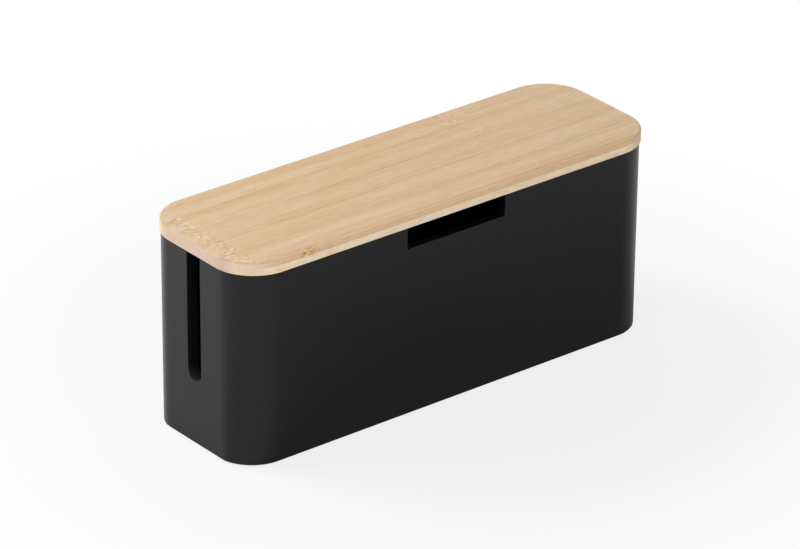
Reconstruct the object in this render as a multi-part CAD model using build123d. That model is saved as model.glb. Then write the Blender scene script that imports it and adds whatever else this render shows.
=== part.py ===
from build123d import *
from math import cos, radians, sin
import os

# Cable management box: a drafted plastic tub with cable slots in both ends and a
# notch in the front of its rim, closed by a loose bamboo lid. Millimetres.
# +X runs along the box, +Y to the back and +Z up. The origin is the centre of the
# footprint, in the plane that the feet stand on.

# Lid board: two plies of glued bamboo staves
lid_length = 320.0
lid_width = 102.4
lid_corner_radius = 28.4
upper_ply_thickness = 3.2
lower_ply_thickness = 4.7
lid_top_round = 1.1
lid_bottom_chamfer = 0.4

# Staves: the upper ply ends in a narrow one along the front edge, and its others
# share the rest of the width in these proportions, from the back to the front
upper_stave_shares = (1.02, 1.05, 1.02, 0.93, 0.98)
front_stave_width = 4.4
lower_staves = 5

# Battens under the lid, which keep it in place on the rim
batten_width = 14.0
batten_thickness = 5.0
batten_setback = 9.0
batten_clearance = 0.8
batten_edge_chamfer = 0.8

# Tub: its outline at the rim follows the lid, and its walls draft inwards towards
# the base. The flat of each end wall cuts its two corners a little short, so that
# it meets each of them at a crease and not at a tangent.
box_height = 126.5
lid_overhang = 0.9
side_draft = 1.75
end_draft = 0.5
end_crease_angle = 13.5
rim_corner_radius = 29.0
base_corner_radius = 26.3
wall_thickness = 2.2
floor_thickness = 2.4
floor_corner_round = 3.0
base_edge_round = 0.8
rim_edge_round = 0.4

# Cable slot in each end wall, open at the rim
slot_width = 12.8
slot_depth = 84.4
slot_mouth_round = 2.0

# Notch in the rim of the front wall
notch_width = 75.0
notch_depth = 14.5
notch_corner_radius = 0.8

# Collar that stands in from the wall round each slot and round the notch, so that
# leads bend over a broad face and not over the bare edge of a thin wall
collar_depth = 8.0
collar_thickness = 2.0
collar_drop = 2.5

# Rubber feet, pressed flat into round seats in the base
foot_diameter = 12.0
foot_thickness = 2.0
foot_edge_chamfer = 0.5
foot_seat_depth = 0.9
foot_seat_clearance = 0.15
foot_end_inset = 24.0
foot_side_inset = 15.0

# Heights of the main levels
base_level = foot_thickness - foot_seat_depth
floor_level = base_level + floor_thickness
rim_level = base_level + box_height
ply_level = rim_level + lower_ply_thickness
lid_top_level = ply_level + upper_ply_thickness

# How far a cutting tool runs past the faces that it opens
cut_past = 5.0

# How far an edge may lie from a level and still count as being on it
level_tolerance = 0.001

# Flats that stand in for each rounded edge of the tub
round_steps = 2


def tub_plan(level, inset):
    """Outline of the tub at a height, moved in from its outer face by an inset."""
    share = max(0, (rim_level - level) / box_height)
    half_length = lid_length / 2 - lid_overhang - end_draft * share - inset
    half_width = lid_width / 2 - lid_overhang - side_draft * share - inset
    radius = rim_corner_radius + (base_corner_radius - rim_corner_radius) * share - inset
    cut_short = radius * (1 - cos(radians(end_crease_angle)))
    plan = RectangleRounded(2 * (half_length + cut_short), 2 * half_width, radius)
    plan &= Rectangle(2 * half_length, 2 * half_width)
    return Pos(0, 0, level) * plan


def rounded_edge(level, radius, direction):
    """Heights and insets that round an edge off, from the edge towards the wall."""
    sections = []
    for step in range(round_steps + 1):
        angle = radians(90 * step / round_steps)
        height = level + direction * radius * (1 - cos(angle))
        sections.append((height, radius * (1 - sin(angle))))
    return sections


def tub_form(sections, inset):
    """Solid through the tub's outlines at each height, all moved in by an inset."""
    plans = [tub_plan(level, inset + step) for level, step in sections]
    return loft(plans, ruled=True)


def edges_at(solid, level):
    """Edges that lie in the horizontal plane at a height."""
    low = level - level_tolerance
    high = level + level_tolerance
    return solid.edges().filter_by_position(Axis.Z, low, high)


def channel(width, depth, top):
    """Round-ended upright channel, drawn with the rim along y = 0."""
    straight = depth - width / 2
    run = Pos(0, (top - straight) / 2) * Rectangle(width, straight + top)
    return run + Pos(0, -straight) * Circle(width / 2)


def slot_profile():
    """Round-ended slot with rounded lead-ins, drawn with the rim along y = 0."""
    mouth_width = slot_width + 2 * slot_mouth_round
    mouth = Pos(0, -slot_mouth_round / 2) * Rectangle(mouth_width, slot_mouth_round)
    for side in (-1, 1):
        mouth -= Pos(side * mouth_width / 2, -slot_mouth_round) * Circle(slot_mouth_round)
    return channel(slot_width, slot_depth, cut_past) + mouth


def notch_profile():
    """Square notch with softened lower corners, drawn with the rim along y = 0."""
    height = notch_depth + cut_past
    centre = (cut_past - notch_depth) / 2
    return Pos(0, centre) * RectangleRounded(notch_width, height, notch_corner_radius)


def collar_blocks():
    """The space that the collars of both slots and of the notch are left in."""
    reach = collar_depth + cut_past
    slot_collar = channel(slot_width + 2 * collar_thickness, slot_depth + collar_thickness, -collar_drop)
    inner_x = lid_length / 2 - lid_overhang - collar_depth
    blocks = []
    for side in (-1, 1):
        plane = Plane(origin=(side * inner_x, 0, rim_level), x_dir=(0, side, 0), z_dir=(side, 0, 0))
        blocks.append(extrude(plane * slot_collar, reach))

    notch_width_outside = notch_width + 2 * collar_thickness
    notch_height = notch_depth + collar_thickness - collar_drop
    notch_collar = Pos(0, -collar_drop - notch_height / 2) * Rectangle(notch_width_outside, notch_height)
    inner_y = lid_width / 2 - lid_overhang - collar_depth
    plane = Plane(origin=(0, -inner_y, rim_level), x_dir=(1, 0, 0), z_dir=(0, -1, 0))
    blocks.append(extrude(plane * notch_collar, reach))
    return blocks


def foot_places():
    """Centres of the four feet, named by where they are."""
    reach_x = lid_length / 2 - lid_overhang - end_draft - foot_end_inset
    reach_y = lid_width / 2 - lid_overhang - side_draft - foot_side_inset
    return {
        "front_left": (-reach_x, -reach_y),
        "front_right": (reach_x, -reach_y),
        "back_left": (-reach_x, reach_y),
        "back_right": (reach_x, reach_y),
    }


def make_box_body():
    """The tub: one moulding, hollow, slotted and notched with collars, seated for its feet."""
    base_sections = rounded_edge(base_level, base_edge_round, 1)
    rim_sections = rounded_edge(rim_level, rim_edge_round, -1)
    outer = tub_form(base_sections + rim_sections[::-1], 0)
    floor_sections = rounded_edge(floor_level, floor_corner_round, 1)
    mouth_sections = [(rim_level, 0), (rim_level + cut_past, 0)]
    cavity = tub_form(floor_sections + mouth_sections, wall_thickness)
    for block in collar_blocks():
        cavity -= block
    body = outer - cavity

    end_plane = Plane(origin=(0, 0, rim_level), x_dir=(0, 1, 0), z_dir=(1, 0, 0))
    body -= extrude(end_plane * slot_profile(), lid_length / 2 + cut_past, both=True)

    front_plane = Plane(origin=(0, 0, rim_level), x_dir=(1, 0, 0), z_dir=(0, -1, 0))
    body -= extrude(front_plane * notch_profile(), lid_width / 2 + cut_past)

    seat_radius = foot_diameter / 2 + foot_seat_clearance
    for x, y in foot_places().values():
        body -= Pos(x, y, base_level) * extrude(Circle(seat_radius), foot_seat_depth)
    return body


def make_lid_board():
    """The whole lid board before it is divided into its staves."""
    plan = Pos(0, 0, rim_level) * RectangleRounded(lid_length, lid_width, lid_corner_radius)
    board = extrude(plan, lid_top_level - rim_level)
    board = fillet(edges_at(board, lid_top_level), lid_top_round)
    return chamfer(edges_at(board, rim_level), lid_bottom_chamfer)


def cut_staves(board, widths, low, high):
    """Divide one ply of the board into staves, from the back edge to the front."""
    staves = []
    back = lid_width / 2
    for width in widths:
        centre = (0, back - width / 2, (low + high) / 2)
        staves.append(board & Pos(*centre) * Box(lid_length, width, high - low))
        back -= width
    return staves


def make_batten(side):
    """One batten, its ends shaped to the inside of the tub's corners."""
    level = rim_level - batten_thickness
    plan = tub_plan(level, wall_thickness + batten_clearance)
    inner_end = lid_length / 2 - lid_overhang - wall_thickness
    centre = side * (inner_end - batten_setback - batten_width / 2)
    band = Pos(centre, 0, level) * Rectangle(batten_width, lid_width)
    batten = extrude(plan & band, batten_thickness)
    return chamfer(edges_at(batten, level), batten_edge_chamfer)


def make_foot(x, y):
    """One rubber foot, eased round the face that it stands on."""
    foot = extrude(Circle(foot_diameter / 2), foot_thickness)
    foot = chamfer(edges_at(foot, 0), foot_edge_chamfer)
    return Pos(x, y, 0) * foot


def make_parts():
    """Every separate piece of the object, by name."""
    pieces = {"box_body": make_box_body()}

    board = make_lid_board()
    shared_width = (lid_width - front_stave_width) / sum(upper_stave_shares)
    upper_widths = [shared_width * share for share in upper_stave_shares]
    upper_widths.append(front_stave_width)
    lower_widths = [lid_width / lower_staves] * lower_staves
    upper = cut_staves(board, upper_widths, ply_level, lid_top_level)
    lower = cut_staves(board, lower_widths, rim_level, ply_level)
    for number, stave in enumerate(upper, start=1):
        pieces[f"lid_upper_stave_{number}"] = stave
    for number, stave in enumerate(lower, start=1):
        pieces[f"lid_lower_stave_{number}"] = stave

    pieces["lid_batten_left"] = make_batten(-1)
    pieces["lid_batten_right"] = make_batten(1)
    for place, (x, y) in foot_places().items():
        pieces[f"foot_{place}"] = make_foot(x, y)
    return pieces


os.makedirs("parts", exist_ok=True)
for name, piece in make_parts().items():
    export_step(piece, f"parts/{name}.step")
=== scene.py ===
from math import copysign, cos, hypot, radians, sin

import bmesh
import bpy
from mathutils import Matrix, Vector


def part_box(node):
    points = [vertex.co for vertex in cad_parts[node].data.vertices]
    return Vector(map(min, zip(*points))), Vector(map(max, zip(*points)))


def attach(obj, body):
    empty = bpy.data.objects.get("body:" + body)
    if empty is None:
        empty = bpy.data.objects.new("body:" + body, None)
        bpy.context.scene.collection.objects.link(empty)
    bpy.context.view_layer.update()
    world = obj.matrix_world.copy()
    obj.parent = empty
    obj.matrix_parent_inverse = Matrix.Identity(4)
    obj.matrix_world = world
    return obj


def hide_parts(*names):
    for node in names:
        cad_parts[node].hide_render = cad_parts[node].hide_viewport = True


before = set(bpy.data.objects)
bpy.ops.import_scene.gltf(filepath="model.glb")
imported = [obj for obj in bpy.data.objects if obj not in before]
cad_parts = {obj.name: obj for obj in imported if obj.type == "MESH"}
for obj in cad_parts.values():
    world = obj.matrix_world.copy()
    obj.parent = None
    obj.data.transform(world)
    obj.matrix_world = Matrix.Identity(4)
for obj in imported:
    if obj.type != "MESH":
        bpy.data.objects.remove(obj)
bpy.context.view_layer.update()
tubLow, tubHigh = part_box("box_body")
print("frame loaded")


# A socket is given either a value or a link from another socket.
def setSocket(tree, socket, value):
    if isinstance(value, bpy.types.NodeSocket):
        tree.links.new(value, socket)
    else:
        socket.default_value = value


def addNode(tree, kind, inputs=None, **settings):
    node = tree.nodes.new(kind)
    for name, value in settings.items():
        setattr(node, name, value)
    for name, value in (inputs or {}).items():
        setSocket(tree, node.inputs[name], value)
    return node


def calc(tree, operation, *values):
    node = addNode(tree, "ShaderNodeMath", operation=operation)
    for socket, value in zip(node.inputs, values):
        setSocket(tree, socket, value)
    return node.outputs[0]


# From start to end, as a value goes from low to high.
def ramp(tree, value, low, high, start=0.0, end=1.0):
    node = addNode(tree, "ShaderNodeMapRange", interpolation_type="SMOOTHSTEP")
    for name, item in zip(("Value", "From Min", "From Max", "To Min", "To Max"), (value, low, high, start, end)):
        setSocket(tree, node.inputs[name], item)
    return node.outputs["Result"]


def centred(tree, noise):
    return calc(tree, "SUBTRACT", noise, 0.5)


def blendColor(tree, factor, first, second, kind="MIX"):
    node = addNode(tree, "ShaderNodeMix", data_type="RGBA", blend_type=kind)
    setSocket(tree, node.inputs[0], factor)
    setSocket(tree, node.inputs[6], first)
    setSocket(tree, node.inputs[7], second)
    return node.outputs[2]


# The scale says how often the noise repeats in a metre along X, Y and Z.
def stretchedNoise(tree, coords, scale, detail=2.0, rough=0.5):
    stretch = addNode(tree, "ShaderNodeVectorMath", operation="MULTIPLY")
    setSocket(tree, stretch.inputs[0], coords)
    stretch.inputs[1].default_value = scale
    noise = addNode(tree, "ShaderNodeTexNoise", {"Vector": stretch.outputs[0], "Scale": 1.0,
                                                 "Detail": detail, "Roughness": rough})
    return noise.outputs["Fac"]


def newGroup(name, inputs, outputs):
    group = bpy.data.node_groups.new(name, "ShaderNodeTree")
    for label, kind, value in inputs:
        group.interface.new_socket(label, in_out="INPUT", socket_type=kind).default_value = value
    for label, kind in outputs:
        group.interface.new_socket(label, in_out="OUTPUT", socket_type=kind)
    return group, group.nodes.new("NodeGroupInput"), group.nodes.new("NodeGroupOutput")


def newMaterial(name):
    material = bpy.data.materials.new(name)
    material.use_nodes = True
    tree = material.node_tree
    return material, tree, tree.nodes["Principled BSDF"]


# Base colour, roughness and bump come from the group, and the shader stays in the material.
def joinSurface(tree, shader, surface, bumpStrength, bumpDepth, specular):
    bump = addNode(tree, "ShaderNodeBump", {"Height": surface.outputs["Height"], "Strength": bumpStrength,
                                            "Distance": bumpDepth})
    setSocket(tree, shader.inputs["Base Color"], surface.outputs["Color"])
    setSocket(tree, shader.inputs["Roughness"], surface.outputs["Roughness"])
    setSocket(tree, shader.inputs["Normal"], bump.outputs[0])
    shader.inputs["Specular IOR Level"].default_value = specular


nowhere = 1.0   # metres: a place off the board, for a mark or a joint that a stave doesn't have

bamboo = {
    "topColor": (0.704, 0.473, 0.262, 1),
    "frontColor": (0.695, 0.466, 0.267, 1),
    "lowerColor": (0.822, 0.642, 0.451, 1),
    "endGrainColor": (0.527, 0.393, 0.319, 1),
    "endWarmColor": (0.522, 0.388, 0.281, 1),
    "cornerColor": (0.725, 0.552, 0.383, 1),
    "toneTint": (0.50, 1.0, 2.12),   # a darker band is also a yellower one
    "markTint": (0.68, 1.0, 1.50),   # fine marks are nearly as dark in every colour
    "roughness": 0.46, "streakPolish": 0.14, "endRoughness": 0.16, "specular": 0.35,
    "bumpStrength": 0.35, "bumpDepth": 0.00004, "fibreHeight": 0.5, "bundleHeight": 0.6, "fleckHeight": 0.5,
    "seedShift": (0.71, 0.137),
    "bandDepth": 0.27, "streakDepth": 0.17, "blotchDepth": 0.05,
    "fibreDepth": 0.10, "dashDepth": 0.25, "bundleDepth": 0.10,
    "jointReach": 0.0045, "jointDepth": 0.085, "frontJointReach": 0.0015, "frontJointShare": 0.4,
    "glueLine": 0.00045, "glueDepth": 0.31,
    "lightReach": 0.005, "lightDrift": 0.006, "nodeReach": 0.008, "nodeRagged": 0.010,
    "endFade": 0.045, "edgeFade": 0.035, "edgeRagged": 0.004, "dotDepth": 0.06, "dotLift": 0.02,
    "fleckDepth": 0.235, "fleckRagged": 0.016,
    # a lift for the sanded long edges, and painted shade on the left end's rounded top edge
    "easedLift": 0.10, "leftEdgeShade": 0.245,
    # each noise's scale and detail, and the fibres' roughness
    "noise": {
        "band": ((4.0, 90.0, 90.0), 1.5),
        "streak": ((11.0, 270.0, 270.0), 2.0),
        "blotch": ((30.0, 190.0, 190.0), 1.0),
        "fibre": ((40.0, 2600.0, 2600.0), 2.0, 0.6),
        "bundle": ((150.0, 1300.0, 1300.0), 1.0),
        "dash": ((110.0, 620.0, 620.0), 1.0),
        "mottle": ((150.0, 150.0, 150.0), 1.0),
        "joint": ((11.0, 60.0, 60.0), 1.5),
        "glue": ((90.0, 40.0, 40.0), 1.0),
        "drift": ((7.0, 0.0, 0.0), 1.0),
        "specks": ((300.0, 1100.0, 1100.0), 1.0),
        "ragged": ((60.0, 400.0, 400.0), 1.5),
        "dots": ((900.0, 1500.0, 1500.0), 1.0),
        "flecks": ((300.0, 700.0, 700.0), 1.0),
        "patches": ((60.0, 70.0, 90.0), 1.0),
    },
    # the values of a noise between which its mark comes in
    "blotchPale": (0.30, 0.42), "blotchDark": (0.58, 0.70), "bundleFrom": (0.60, 0.74),
    "jointFrom": (0.32, 0.68), "glueFrom": (0.42, 0.56), "driftFrom": (-0.2, 0.2),
    "speckPale": (0.53, 0.63), "speckDark": (0.37, 0.47), "dotFrom": (0.52, 0.70),
    "fleckPale": (0.53, 0.60), "fleckDark": (0.39, 0.47), "patchFrom": (0.38, 0.62),
    # how strong a mark is at the two ends of its span
    "jointSwing": (0.3, 1.5), "darkestSwing": (1.5, 0.65), "lightSwing": (1.3, 0.6), "flecksSwing": (0.3, 1.0),
    "nodeSoftness": (0.35, 1.0),   # shares of a growth node's reach, between which it fades out
    # metres along the board, from a joint's darkest place or from the middle
    "darkestReach": (0.015, 0.080), "leftPale": (-0.1560, -0.1260), "edgePale": (0.1545, 0.1590),
    "flecksEnd": (-0.1470, -0.1430), "flecksThin": (-0.1590, -0.1500),
    "levelLimit": 1.0001,   # just over 1, so that a level face doesn't divide by zero
    # how far a face has turned: to the left or to either end, and upwards
    "endTurn": (0.12, 0.60), "leftTurn": (0.86, 1.0), "leftEdgeShadeTurn": (0.50, 0.92),
    "endUp": (0.40, 0.95), "fleckUp": (0.5, 0.9),
    "easedUp": (0.05, 0.45), "easedTop": (0.75, 0.99), "leftEdgeShadeUp": (0.15, 0.65), "leftEdgeShadeTop": (0.95, 1.0),
}


def makeBambooGroup():
    group, inlet, outlet = newGroup("bambooFigure", [
        ("Base", "NodeSocketColor", bamboo["topColor"]),
        ("Seed", "NodeSocketFloat", 0.0),
        ("Back Edge", "NodeSocketFloat", nowhere),
        ("Front Edge", "NodeSocketFloat", -nowhere),
        ("Figure Share", "NodeSocketFloat", 1.0),
        ("Mottle", "NodeSocketFloat", 0.0),
        ("Joint Tone", "NodeSocketFloat", bamboo["jointDepth"]),
        ("Joint Reach", "NodeSocketFloat", bamboo["jointReach"]),
        ("Joint Place", "NodeSocketFloat", 0.0),
        ("Light Place", "NodeSocketFloat", nowhere),
        ("Light Reach", "NodeSocketFloat", bamboo["lightReach"]),
        ("Light Tone", "NodeSocketFloat", 0.0),
        ("Node Place", "NodeSocketFloat", nowhere),
        ("Node Reach", "NodeSocketFloat", bamboo["nodeReach"]),
        ("Node Tone", "NodeSocketFloat", 0.0),
        ("Node Specks", "NodeSocketFloat", 0.0),
        ("End Flecks", "NodeSocketFloat", 0.0),
    ], [("Color", "NodeSocketColor"), ("Roughness", "NodeSocketFloat"), ("Height", "NodeSocketFloat")])
    given = inlet.outputs
    place = addNode(group, "ShaderNodeTexCoord")
    seedX, seedY = bamboo["seedShift"]
    shift = addNode(group, "ShaderNodeCombineXYZ", {"X": calc(group, "MULTIPLY", given["Seed"], seedX),
                                                    "Y": calc(group, "MULTIPLY", given["Seed"], seedY),
                                                    "Z": given["Seed"]})
    moved = addNode(group, "ShaderNodeVectorMath", operation="ADD")
    setSocket(group, moved.inputs[0], place.outputs["Object"])
    setSocket(group, moved.inputs[1], shift.outputs[0])
    spot = addNode(group, "ShaderNodeSeparateXYZ", {"Vector": place.outputs["Object"]})
    facing = addNode(group, "ShaderNodeSeparateXYZ", {"Vector": place.outputs["Normal"]})
    x, y, up = spot.outputs["X"], spot.outputs["Y"], facing.outputs["Z"]

    # a noise of one stave alone, or one that runs on from stave to stave
    def staveNoise(name):
        return stretchedNoise(group, moved.outputs[0], *bamboo["noise"][name])

    def boardNoise(name):
        return stretchedNoise(group, place.outputs["Object"], *bamboo["noise"][name])

    def distance(value, target):
        return calc(group, "ABSOLUTE", calc(group, "SUBTRACT", value, target))

    # marks that are pale where a noise is high, and dark where it is low
    def paleAndDark(noise, pale, dark):
        return calc(group, "SUBTRACT", ramp(group, noise, *pale), ramp(group, noise, *dark, 1.0, 0.0))

    # how much lighter or darker the wood is here: soft bands, streaks and hair-fine fibres, all lengthwise
    band = centred(group, staveNoise("band"))
    streak = centred(group, staveNoise("streak"))
    blotch = staveNoise("blotch")
    blotch = calc(group, "SUBTRACT", ramp(group, blotch, *bamboo["blotchPale"], 1.0, 0.0),
                  ramp(group, blotch, *bamboo["blotchDark"]))
    fibre = centred(group, staveNoise("fibre"))
    bundle = ramp(group, staveNoise("bundle"), *bamboo["bundleFrom"])
    dash = centred(group, staveNoise("dash"))
    mottle = centred(group, staveNoise("mottle"))
    tone = calc(group, "MULTIPLY", band, bamboo["bandDepth"])
    tone = calc(group, "MULTIPLY_ADD", streak, bamboo["streakDepth"], tone)
    tone = calc(group, "MULTIPLY_ADD", blotch, bamboo["blotchDepth"], tone)
    tone = calc(group, "MULTIPLY", tone, given["Figure Share"])
    tone = calc(group, "MULTIPLY_ADD", mottle, given["Mottle"], tone)
    mark = calc(group, "MULTIPLY", fibre, bamboo["fibreDepth"])
    mark = calc(group, "MULTIPLY_ADD", dash, bamboo["dashDepth"], mark)
    mark = calc(group, "MULTIPLY_ADD", bundle, -bamboo["bundleDepth"], mark)

    # each stave is darker along its back joint, with a thin broken glue line between two staves
    toBack = distance(y, given["Back Edge"])
    toFront = distance(y, given["Front Edge"])
    toJoint = calc(group, "MINIMUM", toBack, toFront)
    jointWander = ramp(group, boardNoise("joint"), *bamboo["jointFrom"], *bamboo["jointSwing"])
    darkest = distance(x, given["Joint Place"])
    jointWander = calc(group, "MULTIPLY", jointWander,
                       ramp(group, darkest, *bamboo["darkestReach"], *bamboo["darkestSwing"]))
    joint = ramp(group, toBack, 0.0, given["Joint Reach"], 1.0, 0.0)
    joint = calc(group, "MAXIMUM", joint,
                 ramp(group, toFront, 0.0, bamboo["frontJointReach"], bamboo["frontJointShare"], 0.0))
    joint = calc(group, "MULTIPLY", joint, jointWander)
    glueWander = ramp(group, staveNoise("glue"), *bamboo["glueFrom"])
    glue = calc(group, "MULTIPLY", ramp(group, toJoint, 0.0, bamboo["glueLine"], 1.0, 0.0), glueWander)
    tone = calc(group, "SUBTRACT", tone, calc(group, "MULTIPLY", joint, given["Joint Tone"]))
    mark = calc(group, "MULTIPLY_ADD", glue, -bamboo["glueDepth"], mark)

    # a stave may have one paler band along it, which swells and drifts
    drift = centred(group, staveNoise("drift"))
    toLight = calc(group, "MULTIPLY_ADD", drift, bamboo["lightDrift"],
                   calc(group, "SUBTRACT", y, given["Light Place"]))
    toLight = calc(group, "DIVIDE", calc(group, "ABSOLUTE", toLight), given["Light Reach"])
    light = calc(group, "MULTIPLY", ramp(group, toLight, 0.0, 1.0, 1.0, 0.0),
                 ramp(group, drift, *bamboo["driftFrom"], *bamboo["lightSwing"]))
    tone = calc(group, "MULTIPLY_ADD", light, given["Light Tone"], tone)

    # a growth node of the cane shows as a soft patch with short specks in it
    specks = paleAndDark(staveNoise("specks"), bamboo["speckPale"], bamboo["speckDark"])
    ragged = centred(group, staveNoise("ragged"))
    across = calc(group, "MULTIPLY_ADD", ragged, bamboo["nodeRagged"],
                  calc(group, "SUBTRACT", x, given["Node Place"]))
    across = calc(group, "DIVIDE", calc(group, "ABSOLUTE", across), given["Node Reach"])
    nodeZone = ramp(group, across, *bamboo["nodeSoftness"], 1.0, 0.0)
    tone = calc(group, "MULTIPLY_ADD", nodeZone, given["Node Tone"], tone)
    mark = calc(group, "MULTIPLY_ADD", calc(group, "MULTIPLY", nodeZone, specks), given["Node Specks"], mark)

    # the wood pales towards the left end, and in the last few millimetres at both ends
    tone = calc(group, "ADD", tone, ramp(group, x, *bamboo["leftPale"], bamboo["endFade"], 0.0))
    toEnd = calc(group, "MULTIPLY_ADD", ragged, bamboo["edgeRagged"], calc(group, "ABSOLUTE", x))
    tone = calc(group, "ADD", tone, ramp(group, toEnd, *bamboo["edgePale"], 0.0, bamboo["edgeFade"]))

    # end grain is plainer, with short dots; it shows on the ends and runs out round the corners
    level = calc(group, "SQRT", calc(group, "SUBTRACT", bamboo["levelLimit"], calc(group, "MULTIPLY", up, up)))
    rightward = calc(group, "DIVIDE", facing.outputs["X"], level)
    leftward = calc(group, "MULTIPLY", rightward, -1.0)
    endways = calc(group, "ABSOLUTE", rightward)
    endSide = ramp(group, endways, *bamboo["endTurn"])
    endFace = calc(group, "MULTIPLY", endSide, ramp(group, up, *bamboo["endUp"], 1.0, 0.0))
    dots = ramp(group, staveNoise("dots"), *bamboo["dotFrom"])
    tone = calc(group, "MULTIPLY", tone, calc(group, "SUBTRACT", 1.0, endFace))
    endMark = calc(group, "MULTIPLY_ADD", dots, -bamboo["dotDepth"], bamboo["dotLift"])
    mark = addNode(group, "ShaderNodeMix", {"Factor": endFace, "A": mark, "B": endMark}).outputs[0]

    # torn fibres speckle the top next to the left end
    flecks = paleAndDark(staveNoise("flecks"), bamboo["fleckPale"], bamboo["fleckDark"])
    reach = calc(group, "MULTIPLY_ADD", ragged, bamboo["fleckRagged"], x)
    fleckZone = calc(group, "MULTIPLY", ramp(group, reach, *bamboo["flecksEnd"], 1.0, 0.0),
                     ramp(group, reach, *bamboo["flecksThin"], *bamboo["flecksSwing"]))
    fleckZone = calc(group, "MULTIPLY", fleckZone, ramp(group, up, *bamboo["fleckUp"]))
    flecks = calc(group, "MULTIPLY", calc(group, "MULTIPLY", flecks, fleckZone), given["End Flecks"])
    mark = calc(group, "MULTIPLY_ADD", flecks, bamboo["fleckDepth"], mark)

    # the eased long edges are sanded a little paler, and the left end's rounded top edge gets painted shade that
    # damps the key light's highlight there
    eased = calc(group, "MULTIPLY", ramp(group, up, *bamboo["easedUp"]),
                 ramp(group, up, *bamboo["easedTop"], 1.0, 0.0))
    eased = calc(group, "MULTIPLY", eased, calc(group, "SUBTRACT", 1.0, endSide))
    # painted shade on the left end's rounded top edge
    leftEdgeShade = calc(group, "MULTIPLY", ramp(group, up, *bamboo["leftEdgeShadeUp"]),
                    ramp(group, up, *bamboo["leftEdgeShadeTop"], 1.0, 0.0))
    leftEdgeShade = calc(group, "MULTIPLY", leftEdgeShade, ramp(group, leftward, *bamboo["leftEdgeShadeTurn"]))
    sanded = calc(group, "MULTIPLY_ADD", eased, bamboo["easedLift"], 1.0)
    sanded = calc(group, "MULTIPLY_ADD", leftEdgeShade, -bamboo["leftEdgeShade"], sanded)

    # the end's own colour runs on from one stave to the next
    patches = ramp(group, boardNoise("patches"), *bamboo["patchFrom"])
    endColor = blendColor(group, patches, bamboo["endGrainColor"], bamboo["endWarmColor"])
    endColor = blendColor(group, ramp(group, leftward, *bamboo["leftTurn"]), bamboo["cornerColor"], endColor)
    body = blendColor(group, endFace, given["Base"], endColor)
    shade = sanded
    for amount, tint in ((tone, bamboo["toneTint"]), (mark, bamboo["markTint"])):
        tinted = addNode(group, "ShaderNodeVectorMath", operation="MULTIPLY_ADD")
        for socket, value in zip(tinted.inputs, (amount, tint, shade)):
            setSocket(group, socket, value)
        shade = tinted.outputs[0]
    setSocket(group, outlet.inputs["Color"], blendColor(group, 1.0, body, shade, "MULTIPLY"))
    dull = calc(group, "MULTIPLY_ADD", streak, -bamboo["streakPolish"], bamboo["roughness"])
    dull = calc(group, "MULTIPLY_ADD", endFace, bamboo["endRoughness"], dull)
    setSocket(group, outlet.inputs["Roughness"], dull)
    height = calc(group, "MULTIPLY_ADD", bundle, -bamboo["bundleHeight"],
                  calc(group, "MULTIPLY", fibre, bamboo["fibreHeight"]))
    height = calc(group, "MULTIPLY_ADD", flecks, bamboo["fleckHeight"], height)
    setSocket(group, outlet.inputs["Height"], calc(group, "SUBTRACT", height, glue))
    return group


bambooGroup = makeBambooGroup()


def bambooMaterial(name, color, seed, edges=(nowhere, -nowhere), **marks):
    material, tree, shader = newMaterial(name)
    figure = addNode(tree, "ShaderNodeGroup", node_tree=bambooGroup)
    values = {"Base": color, "Seed": seed, "Back Edge": edges[0], "Front Edge": edges[1]}
    for label, value in {**values, **marks}.items():
        setSocket(tree, figure.inputs[label], value)
    joinSurface(tree, shader, figure, bamboo["bumpStrength"], bamboo["bumpDepth"], bamboo["specular"])
    return material


plastic = {
    "color": (0.0018, 0.0018, 0.0019, 1), "roughness": 0.28, "specular": 0.36,
    "grainSize": 0.0004, "bumpStrength": 0.3,
}
rubber = {
    "color": (0.022, 0.022, 0.022, 1), "roughness": 0.75, "specular": 0.3,
    "grainSize": 0.0003, "bumpStrength": 0.5,
}
mould = {
    "grainDetail": 2.0, "cloudScale": 22.0, "cloudDetail": 3.0, "flowScale": (9.0, 9.0, 28.0),
    "cloudFrom": (0.35, 0.70), "cloudLift": (0.92, 1.10),
    "flowPolish": 0.07, "grainPolish": 0.06, "bumpDepth": 0.00002,
}


def makeMouldGroup():
    group, inlet, outlet = newGroup("mouldedSurface", [
        ("Base", "NodeSocketColor", plastic["color"]),
        ("Gloss", "NodeSocketFloat", plastic["roughness"]),
        ("Grain Size", "NodeSocketFloat", plastic["grainSize"]),
    ], [("Color", "NodeSocketColor"), ("Roughness", "NodeSocketFloat"), ("Height", "NodeSocketFloat")])
    place = addNode(group, "ShaderNodeTexCoord").outputs["Object"]
    finer = calc(group, "DIVIDE", 1.0, inlet.outputs["Grain Size"])
    grain = addNode(group, "ShaderNodeTexNoise", {"Vector": place, "Scale": finer, "Detail": mould["grainDetail"]})
    cloud = addNode(group, "ShaderNodeTexNoise", {"Vector": place, "Scale": mould["cloudScale"],
                                                  "Detail": mould["cloudDetail"]})
    flow = stretchedNoise(group, place, mould["flowScale"])
    lift = ramp(group, cloud.outputs["Fac"], *mould["cloudFrom"], *mould["cloudLift"])
    setSocket(group, outlet.inputs["Color"], blendColor(group, 1.0, inlet.outputs["Base"], lift, "MULTIPLY"))
    polish = calc(group, "ADD", calc(group, "MULTIPLY", centred(group, flow), mould["flowPolish"]),
                  calc(group, "MULTIPLY", centred(group, grain.outputs["Fac"]), mould["grainPolish"]))
    setSocket(group, outlet.inputs["Roughness"], calc(group, "ADD", polish, inlet.outputs["Gloss"]))
    setSocket(group, outlet.inputs["Height"], grain.outputs["Fac"])
    return group


mouldGroup = makeMouldGroup()


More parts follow.
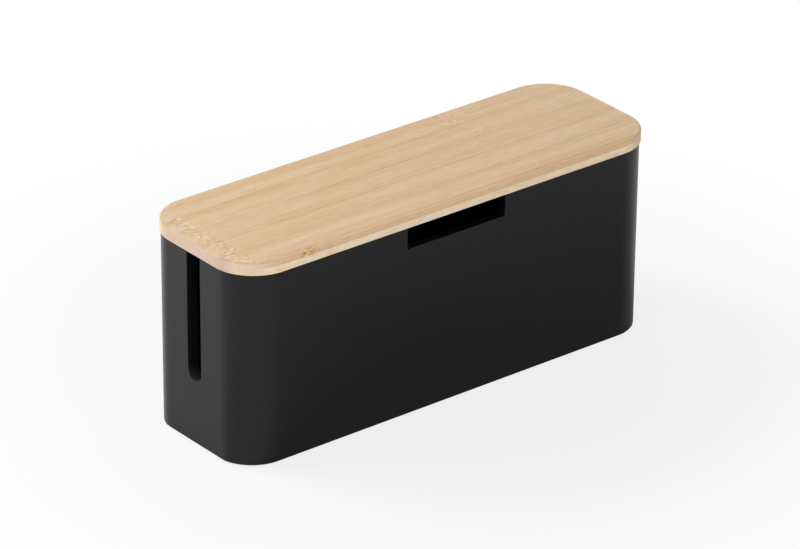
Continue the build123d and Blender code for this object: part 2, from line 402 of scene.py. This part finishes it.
def mouldedMaterial(name, finish):
    material, tree, shader = newMaterial(name)
    surface = addNode(tree, "ShaderNodeGroup", node_tree=mouldGroup)
    values = {"Base": finish["color"], "Gloss": finish["roughness"], "Grain Size": finish["grainSize"]}
    for label, value in values.items():
        setSocket(tree, surface.inputs[label], value)
    joinSurface(tree, shader, surface, finish["bumpStrength"], mould["bumpDepth"], finish["specular"])
    return material


footMaterial = mouldedMaterial("mattBlackRubber", rubber)
print("materials ready")

sharpAngle = radians(31)   # edges that turn more than this are shaded as sharp ones
levelTolerance = 1e-6      # metres: how far a point may lie from a level and still be on it


def addPiece(form, name, body, material, replaced):
    bmesh.ops.recalc_face_normals(form, faces=form.faces)
    mesh = bpy.data.meshes.new(name)
    form.to_mesh(mesh)
    form.free()
    mesh.shade_smooth()
    mesh.set_sharp_from_angle(angle=sharpAngle)
    mesh.materials.append(material)
    piece = bpy.data.objects.new(name, mesh)
    bpy.context.scene.collection.objects.link(piece)
    evenShading = piece.modifiers.new("evenShading", "WEIGHTED_NORMAL")
    evenShading.keep_sharp = True
    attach(piece, body)
    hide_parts(replaced)


def roundEdges(form, edges, size, steps):
    bmesh.ops.bevel(form, geom=edges, offset=size, segments=steps, profile=0.5, affect="EDGES", material=-1)


def levelEdges(form, level):
    return [edge for edge in form.edges if all(abs(vert.co.z - level) < levelTolerance for vert in edge.verts)]


# An outline with rounded corners, lying at a height: a square whose corners are bevelled.
def roundedOutline(form, halfX, halfY, radius, level, steps):
    place = Matrix.Translation((0, 0, level)) @ Matrix.Diagonal((halfX, halfY, 1, 1))
    corners = bmesh.ops.create_grid(form, x_segments=1, y_segments=1, size=1, matrix=place)["verts"]
    rounded = bmesh.ops.bevel(form, geom=corners, offset=radius, segments=steps, profile=0.5,
                              affect="VERTICES", material=-1)
    return rounded["verts"]


def standingDisc(form, middle, radius, height, sides):
    bmesh.ops.create_cone(form, cap_ends=True, segments=sides, radius1=radius, radius2=radius,
                          depth=height, matrix=Matrix.Translation(middle))


tub = {
    "wall": 0.0022, "floor": 0.0024, "floorRound": 0.003, "floorSteps": 6, "baseRound": 0.0008, "baseSteps": 4,
    "sideDraft": 0.00175, "endDraft": 0.0005, "rimRadius": 0.029, "baseRadius": 0.0263, "cornerSteps": 24,
    "creaseAngle": radians(13.5), "creaseSoftness": 0.0004,
    "slotWidth": 0.0128, "slotDepth": 0.0844, "slotSteps": 12, "mouthRound": 0.002, "mouthSteps": 6,
    "notchWidth": 0.075, "notchDepth": 0.0145, "notchRound": 0.0008, "notchSteps": 4, "sillSlope": 0.15,
    "collarDepth": 0.008, "collarThickness": 0.002, "collarDrop": 0.0025,
    "seatDepth": 0.0009, "seatRadius": 0.00615, "seatSides": 48,
    "easeAngle": radians(50), "edgeRound": 0.00035, "edgeSteps": 2,
    "cutPast": 0.01, "cavityRise": 0.005,   # how far the cutters run past what they open
    "flatAngle": radians(0.05),             # faces that turn less than this are merged
    "roundShare": 0.9999,                   # of a slot's half width, so that its two round corners don't meet
    "longEdge": 0.001, "wallEdge": 0.01,    # the shortest edge along a block, and the longest one through a wall
    "mouthTolerance": 1e-5,
}


def tubOutline(form, level, inset):
    share = max(0, (tubHigh.z - level) / (tubHigh.z - tubLow.z))
    halfX = tubHigh.x - tub["endDraft"] * share - inset
    halfY = tubHigh.y - tub["sideDraft"] * share - inset
    radius = tub["rimRadius"] + (tub["baseRadius"] - tub["rimRadius"]) * share - inset
    cutShort = radius * (1 - cos(tub["creaseAngle"]))
    # the flat of each end cuts the corners short, with the crease softened
    for vert in roundedOutline(form, halfX + cutShort, halfY, radius, level, tub["cornerSteps"]):
        inward = halfX + cutShort - abs(vert.co.x)
        inward = (cutShort + inward + hypot(cutShort - inward, tub["creaseSoftness"])) / 2
        vert.co.x = copysign(halfX + cutShort - inward, vert.co.x)


def tubSolid(levels, inset):
    form = bmesh.new()
    for level in levels:
        tubOutline(form, level, inset)
    bmesh.ops.delete(form, geom=form.faces[:], context="FACES_ONLY")
    for low, high in zip(levels, levels[1:]):
        bmesh.ops.bridge_loops(form, edges=levelEdges(form, low) + levelEdges(form, high))
    for level in (levels[0], levels[-1]):
        bmesh.ops.contextual_create(form, geom=levelEdges(form, level))
    bmesh.ops.recalc_face_normals(form, faces=form.faces)
    return form


def blockBetween(form, low, high):
    size = [b - a for a, b in zip(low, high)]
    middle = [(a + b) / 2 for a, b in zip(low, high)]
    bmesh.ops.create_cube(form, size=1, matrix=Matrix.Translation(middle) @ Matrix.Diagonal((*size, 1)))


def cutAway(form, cutters):
    meshes = [bpy.data.meshes.new("cutting") for _ in [form] + cutters]
    pieces = []
    for mesh, shape in zip(meshes, [form] + cutters):
        shape.to_mesh(mesh)
        shape.free()
        pieces.append(bpy.data.objects.new("cutting", mesh))
        bpy.context.scene.collection.objects.link(pieces[-1])
    for cutter in pieces[1:]:
        cut = pieces[0].modifiers.new("cut", "BOOLEAN")
        cut.object = cutter
        cut.operation = "DIFFERENCE"
        cut.solver = "EXACT"
    left = bmesh.new()
    left.from_object(pieces[0], bpy.context.evaluated_depsgraph_get())
    for piece, mesh in zip(pieces, meshes):
        bpy.data.objects.remove(piece)
        bpy.data.meshes.remove(mesh)
    return left


# The two edges of a block's underside that run along X (axis 0) or Y (axis 1).
def lowerEdges(form, bottom, axis):
    low = [edge for edge in form.edges if all(vert.co.z < bottom + levelTolerance for vert in edge.verts)]
    return [edge for edge in low if abs(edge.verts[0].co[axis] - edge.verts[1].co[axis]) > tub["longEdge"]]


# Both blocks can be grown all round, to stand for the collar, and end a little above or below the rim.
def slotBlock(fromX, toX, grow, top):
    form = bmesh.new()
    half, bottom = tub["slotWidth"] / 2 + grow, tubHigh.z - tub["slotDepth"] - grow
    blockBetween(form, (fromX, -half, bottom), (toX, half, tubHigh.z + top))
    roundEdges(form, lowerEdges(form, bottom, 0), half * tub["roundShare"], tub["slotSteps"])
    return form


def notchBlock(toY, grow, top, slope=0):
    form = bmesh.new()
    half, bottom = tub["notchWidth"] / 2 + grow, tubHigh.z - tub["notchDepth"] - grow
    blockBetween(form, (-half, tubLow.y - tub["cutPast"], bottom), (half, toY, tubHigh.z + top))
    roundEdges(form, lowerEdges(form, bottom, 1), tub["notchRound"], tub["notchSteps"])
    # the sill falls a little towards the inside
    for vert in form.verts:
        if vert.co.z < tubHigh.z:
            vert.co.z -= slope * (vert.co.y - tubLow.y)
    return form


# Collars are the space that the cavity leaves solid round the slots and the notch.
def collarBlocks():
    grow, top = tub["collarThickness"], -tub["collarDrop"]
    innerX, outerX = tubHigh.x - tub["collarDepth"], tubHigh.x + tub["cutPast"]
    return [slotBlock(innerX, outerX, grow, top), slotBlock(-outerX, -innerX, grow, top),
            notchBlock(tubLow.y + tub["collarDepth"], grow, top)]


def footPlaces():
    places = {}
    for node in ("foot_front_left", "foot_front_right", "foot_back_left", "foot_back_right"):
        low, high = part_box(node)
        places[node] = (low + high) / 2
    return places


def seatCutter(place):
    form = bmesh.new()
    standingDisc(form, (place.x, place.y, tubLow.z), tub["seatRadius"], tub["seatDepth"] * 2, tub["seatSides"])
    return form


# painted light inside the end slots: its colours and where it comes in
slotLight = {
    "sideLightColor": (0.0075, 0.0075, 0.0075, 1), "footLightColor": (0.030, 0.030, 0.030, 1), "footLightReach": 0.008,
    "halfWidth": (0.0070, 0.0078), "belowFoot": (0.0012, 0.0004), "endTurn": (0.5, 0.9),
}


# Painted light: the inner faces of the end slots are lightened, most of all at their feet, standing in for light
# that reaches into the slots.
def paintSlotLight(material):
    tree = material.node_tree
    base = tree.nodes["Principled BSDF"].inputs["Base Color"]
    place = addNode(tree, "ShaderNodeTexCoord")
    spot = addNode(tree, "ShaderNodeSeparateXYZ", {"Vector": place.outputs["Object"]})
    facing = addNode(tree, "ShaderNodeSeparateXYZ", {"Vector": place.outputs["Normal"]})
    slotFoot = tubHigh.z - tub["slotDepth"]
    fromLevel, toLevel = (slotFoot - drop for drop in slotLight["belowFoot"])
    inSlot = ramp(tree, calc(tree, "ABSOLUTE", spot.outputs["Y"]), *slotLight["halfWidth"], 1.0, 0.0)
    inSlot = calc(tree, "MULTIPLY", inSlot, ramp(tree, spot.outputs["Z"], fromLevel, toLevel))
    endways = calc(tree, "ABSOLUTE", facing.outputs["X"])
    inSlot = calc(tree, "MULTIPLY", inSlot, ramp(tree, endways, *slotLight["endTurn"], 1.0, 0.0))
    atFoot = ramp(tree, spot.outputs["Z"], slotFoot, slotFoot + slotLight["footLightReach"], 1.0, 0.0)
    # painted light: a paler colour on the slot's sides and a brighter one at its foot
    slotLitColor = blendColor(tree, atFoot, slotLight["sideLightColor"], slotLight["footLightColor"])
    setSocket(tree, base, blendColor(tree, inSlot, base.links[0].from_socket, slotLitColor))


tubMaterial = mouldedMaterial("satinBlackPlastic", plastic)
paintSlotLight(tubMaterial)


# The edges at the rim that cross the wall on both sides of each slot.
def mouthEdges(form):
    half = tub["slotWidth"] / 2
    edges = []
    for edge in levelEdges(form, tubHigh.z):
        beside = all(abs(abs(vert.co.y) - half) < tub["mouthTolerance"] for vert in edge.verts)
        if beside and edge.calc_length() < tub["wallEdge"]:
            edges.append(edge)
    return edges


def makeTub():
    outer = tubSolid([tubLow.z, tubHigh.z], 0)
    roundEdges(outer, levelEdges(outer, tubLow.z), tub["baseRound"], tub["baseSteps"])
    floorLevel = tubLow.z + tub["floor"]
    cavity = tubSolid([floorLevel, tubHigh.z, tubHigh.z + tub["cavityRise"]], tub["wall"])
    roundEdges(cavity, levelEdges(cavity, floorLevel), tub["floorRound"], tub["floorSteps"])
    cavity = cutAway(cavity, collarBlocks())
    past = tub["cutPast"]
    openings = [slotBlock(-tubHigh.x - past, tubHigh.x + past, 0, past),
                notchBlock(tubLow.y + tub["collarDepth"] + past, 0, past, tub["sillSlope"])]
    seats = [seatCutter(place) for place in footPlaces().values()]
    form = cutAway(outer, [cavity] + openings + seats)
    # the slots get rounded lead-ins, then every sharp edge is eased
    roundEdges(form, mouthEdges(form), tub["mouthRound"], tub["mouthSteps"])
    bmesh.ops.dissolve_limit(form, angle_limit=tub["flatAngle"], verts=form.verts, edges=form.edges)
    sharp = [edge for edge in form.edges if edge.calc_face_angle(0) > tub["easeAngle"]]
    roundEdges(form, sharp, tub["edgeRound"], tub["edgeSteps"])
    addPiece(form, "tub", "box", tubMaterial, "box_body")


makeTub()
print("tub made")

feet = {"sides": 48, "edgeRound": 0.0005, "edgeSteps": 3}


def makeFeet():
    for node, place in footPlaces().items():
        low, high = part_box(node)
        form = bmesh.new()
        standingDisc(form, place, (high.x - low.x) / 2, high.z - low.z, feet["sides"])
        roundEdges(form, levelEdges(form, low.z), feet["edgeRound"], feet["edgeSteps"])
        addPiece(form, node + "_pad", "box", footMaterial, node)


makeFeet()
print("feet made")


lid = {
    "cornerRadius": 0.0284, "cornerSteps": 28, "topRound": 0.0011, "topSteps": 5,
    "bottomEase": 0.0004, "bottomSteps": 3, "cutTolerance": 1e-7, "edgeTolerance": 1e-4,
    "darkStave": 6,
    # the wood of the staves, numbered from the back; each has its own seed: a start and a step
    "upperSeed": (0, 1.37), "lowerSeed": (20, 1.91), "lowerMottle": 0.25,
    "marks": {
        1: {"Light Place": 0.0365, "Light Tone": 0.06,
            "Node Place": 0.066, "Node Reach": 0.010, "Node Tone": 0.015, "Node Specks": 0.21},
        2: {"Joint Tone": 0.060, "Joint Reach": 0.0085, "Joint Place": 0.030,
            "Light Place": 0.0195, "Light Tone": 0.10, "Light Reach": 0.006,
            "Node Place": 0.068, "Node Reach": 0.008, "Node Tone": 0.01, "Node Specks": 0.12, "End Flecks": 1.0},
        3: {"Joint Place": -0.010, "End Flecks": 0.9},
        4: {"Joint Place": 0.035, "Light Place": -0.0180, "Light Tone": 0.045, "Light Reach": 0.006,
            "End Flecks": 1.0},
        5: {"Joint Tone": 0.075, "Joint Place": -0.016, "Light Place": -0.0360, "Light Tone": 0.06,
            "End Flecks": 0.9},
        6: {"Figure Share": 0.55, "Joint Tone": 0.130, "Joint Place": 0.100,
            "Node Place": -0.1125, "Node Reach": 0.009, "Node Tone": -0.11, "Node Specks": 0.42},
    },
    "battenSeeds": {"lid_batten_left": 34.5, "lid_batten_right": 36.8},
}


def lidBoard(low, high):
    form = bmesh.new()
    roundedOutline(form, high.x, high.y, lid["cornerRadius"], low.z, lid["cornerSteps"])
    upper = bmesh.ops.extrude_face_region(form, geom=form.faces[:])["geom"]
    lifted = [item for item in upper if isinstance(item, bmesh.types.BMVert)]
    bmesh.ops.translate(form, verts=lifted, vec=(0, 0, high.z - low.z))
    bmesh.ops.recalc_face_normals(form, faces=form.faces)
    roundEdges(form, levelEdges(form, high.z), lid["topRound"], lid["topSteps"])
    roundEdges(form, levelEdges(form, low.z), lid["bottomEase"], lid["bottomSteps"])
    return form


# Cuts the board through at a place, and closes what is left behind the cut.
def keepSlab(form, place, direction):
    geom = form.verts[:] + form.edges[:] + form.faces[:]
    cut = bmesh.ops.bisect_plane(form, geom=geom, dist=lid["cutTolerance"], plane_co=place,
                                 plane_no=direction, clear_outer=True)
    rim = [item for item in cut["geom_cut"] if isinstance(item, bmesh.types.BMEdge)]
    if rim:
        bmesh.ops.contextual_create(form, geom=rim)


def staveMaterial(name, number, edges):
    if "lower" in name:
        slotName, color, marks = "bamboo_lower", bamboo["lowerColor"], {"Mottle": lid["lowerMottle"]}
    elif number == lid["darkStave"]:
        slotName, color, marks = "bamboo_dark", bamboo["frontColor"], lid["marks"][number]
    else:
        slotName, color, marks = "bamboo_upper", bamboo["topColor"], lid["marks"][number]
    start, step = lid["lowerSeed"] if "lower" in name else lid["upperSeed"]
    return bambooMaterial(name + "_bamboo", color, start + number * step, edges, **marks), slotName


def makeStaves():
    nodes = [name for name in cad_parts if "_stave_" in name]
    boxes = {name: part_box(name) for name in nodes}
    boardLow = Vector([min(low[axis] for low, high in boxes.values()) for axis in range(3)])
    boardHigh = Vector([max(high[axis] for low, high in boxes.values()) for axis in range(3)])
    board = lidBoard(boardLow, boardHigh)
    for name in sorted(nodes):
        low, high = boxes[name]
        form = board.copy()
        for place, direction in ((low, (0, -1, 0)), (high, (0, 1, 0)), (low, (0, 0, -1)), (high, (0, 0, 1))):
            keepSlab(form, place, direction)
        # the outermost staves have no joint along the board's own edges
        backEdge = high.y if high.y < boardHigh.y - lid["edgeTolerance"] else nowhere
        frontEdge = low.y if low.y > boardLow.y + lid["edgeTolerance"] else -nowhere
        material, slotName = staveMaterial(name, int(name.split("_")[-1]), (backEdge, frontEdge))
        addPiece(form, name.replace("lid_", "board_"), "lid", material, name)
    board.free()


def dressBattens():
    for node, seed in lid["battenSeeds"].items():
        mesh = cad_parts[node].data
        mesh.materials.clear()
        mesh.materials.append(bambooMaterial(node + "_bamboo", bamboo["lowerColor"], seed))


makeStaves()
dressBattens()
print("lid made")


view = {
    "aim": Vector((-0.00162, 0.00140, 0.06525)),
    "azimuth": radians(-38.883), "elevation": radians(26.525), "roll": radians(0.485),
    "distance": 3.24534, "lens": 239.84, "sensor": 36.0, "clipEnd": 100,
}


def makeCamera():
    azimuth, elevation, roll = view["azimuth"], view["elevation"], view["roll"]
    back = Vector((sin(azimuth) * cos(elevation), -cos(azimuth) * cos(elevation), sin(elevation)))
    level = Vector((cos(azimuth), sin(azimuth), 0))
    right = level * cos(roll) + back.cross(level) * sin(roll)
    turn = Matrix((right, back.cross(right), back)).transposed().to_4x4()
    data = bpy.data.cameras.new("camera")
    data.lens, data.sensor_width, data.clip_end = view["lens"], view["sensor"], view["clipEnd"]
    camera = bpy.data.objects.new("camera", data)
    camera.matrix_world = Matrix.Translation(view["aim"] + back * view["distance"]) @ turn
    bpy.context.scene.collection.objects.link(camera)
    bpy.context.scene.camera = camera


studio = {
    "floorSize": 12.0, "floorColor": (0.80, 0.80, 0.80, 1), "floorRoughness": 0.9, "floorSpecular": 0.1,
    # metres from the box: up to the first the camera sees the floor lifted by nearLift towards white, and from
    # the second as white; between the second and the third it turns white in reflections too
    "liftFrom": 0.15, "whiteFrom": 0.40, "whiteTo": 0.75, "nearLift": 0.80,
    "white": (1, 1, 1, 1), "skyStrength": 0.25,
    "lampAim": Vector((0, 0, 0.07)),
    "lamps": {
        "key": {"place": (-1.0, 1.2, 0.92), "size": (1.2, 1.0), "power": 31.6},
        "front": {"place": (-0.2, -2.6, 0.9), "size": (2.0, 0.8), "power": 27},
        "corner": {"place": (-1.9, -0.9, 0.7), "size": (1.0, 1.0), "power": 11.7},
        "rim": {"place": (1.0, 1.7, 0.9), "size": (1.2, 1.2), "power": 3.7},
    },
}


def seesBackdrop(tree, ray):
    seen = calc(tree, "MAXIMUM", ray.outputs["Is Camera Ray"], ray.outputs["Is Glossy Ray"])
    return calc(tree, "MAXIMUM", seen, ray.outputs["Is Transmission Ray"])


def makeFloor():
    material, tree, shader = newMaterial("paleFloor")
    shader.inputs["Base Color"].default_value = studio["floorColor"]
    shader.inputs["Roughness"].default_value = studio["floorRoughness"]
    shader.inputs["Specular IOR Level"].default_value = studio["floorSpecular"]
    place = addNode(tree, "ShaderNodeTexCoord").outputs["Object"]
    away = addNode(tree, "ShaderNodeVectorMath", operation="LENGTH")
    setSocket(tree, away.inputs[0], place)
    ray = addNode(tree, "ShaderNodeLightPath")
    far = ramp(tree, away.outputs["Value"], studio["whiteFrom"], studio["whiteTo"])
    far = calc(tree, "MULTIPLY", far, seesBackdrop(tree, ray))
    # next to the box the floor is lifted only part of the way to white, so that the shadow stays
    near = ramp(tree, away.outputs["Value"], studio["liftFrom"], studio["whiteFrom"], studio["nearLift"], 1.0)
    near = calc(tree, "MULTIPLY", ray.outputs["Is Camera Ray"], near)
    white = addNode(tree, "ShaderNodeEmission", {"Color": studio["white"], "Strength": 1.0})
    mix = addNode(tree, "ShaderNodeMixShader", {0: calc(tree, "MAXIMUM", far, near)})
    setSocket(tree, mix.inputs[1], shader.outputs[0])
    setSocket(tree, mix.inputs[2], white.outputs[0])
    setSocket(tree, tree.nodes["Material Output"].inputs["Surface"], mix.outputs[0])
    form = bmesh.new()
    bmesh.ops.create_grid(form, x_segments=1, y_segments=1, size=studio["floorSize"] / 2)
    mesh = bpy.data.meshes.new("floor")
    form.to_mesh(mesh)
    form.free()
    mesh.materials.append(material)
    floor = bpy.data.objects.new("floor", mesh)
    bpy.context.scene.collection.objects.link(floor)


# The sky is white where the camera or a reflection sees it, and lights the box only faintly.
def makeSky():
    world = bpy.data.worlds.new("studioSky")
    world.use_nodes = True
    tree = world.node_tree
    seen = seesBackdrop(tree, addNode(tree, "ShaderNodeLightPath"))
    glow = calc(tree, "MULTIPLY_ADD", seen, 1 - studio["skyStrength"], studio["skyStrength"])
    setSocket(tree, tree.nodes["Background"].inputs["Color"], studio["white"])
    setSocket(tree, tree.nodes["Background"].inputs["Strength"], glow)
    bpy.context.scene.world = world


def makeLamps():
    for name, lamp in studio["lamps"].items():
        data = bpy.data.lights.new(name, "AREA")
        data.shape = "RECTANGLE"
        data.size, data.size_y = lamp["size"]
        data.energy = lamp["power"]
        light = bpy.data.objects.new(name, data)
        place = Vector(lamp["place"])
        turn = (studio["lampAim"] - place).to_track_quat("-Z", "Y").to_matrix().to_4x4()
        light.matrix_world = Matrix.Translation(place) @ turn
        bpy.context.scene.collection.objects.link(light)


makeCamera()
makeFloor()
makeSky()
makeLamps()
bpy.context.scene.view_settings.view_transform = "Standard"
print("camera and studio ready")
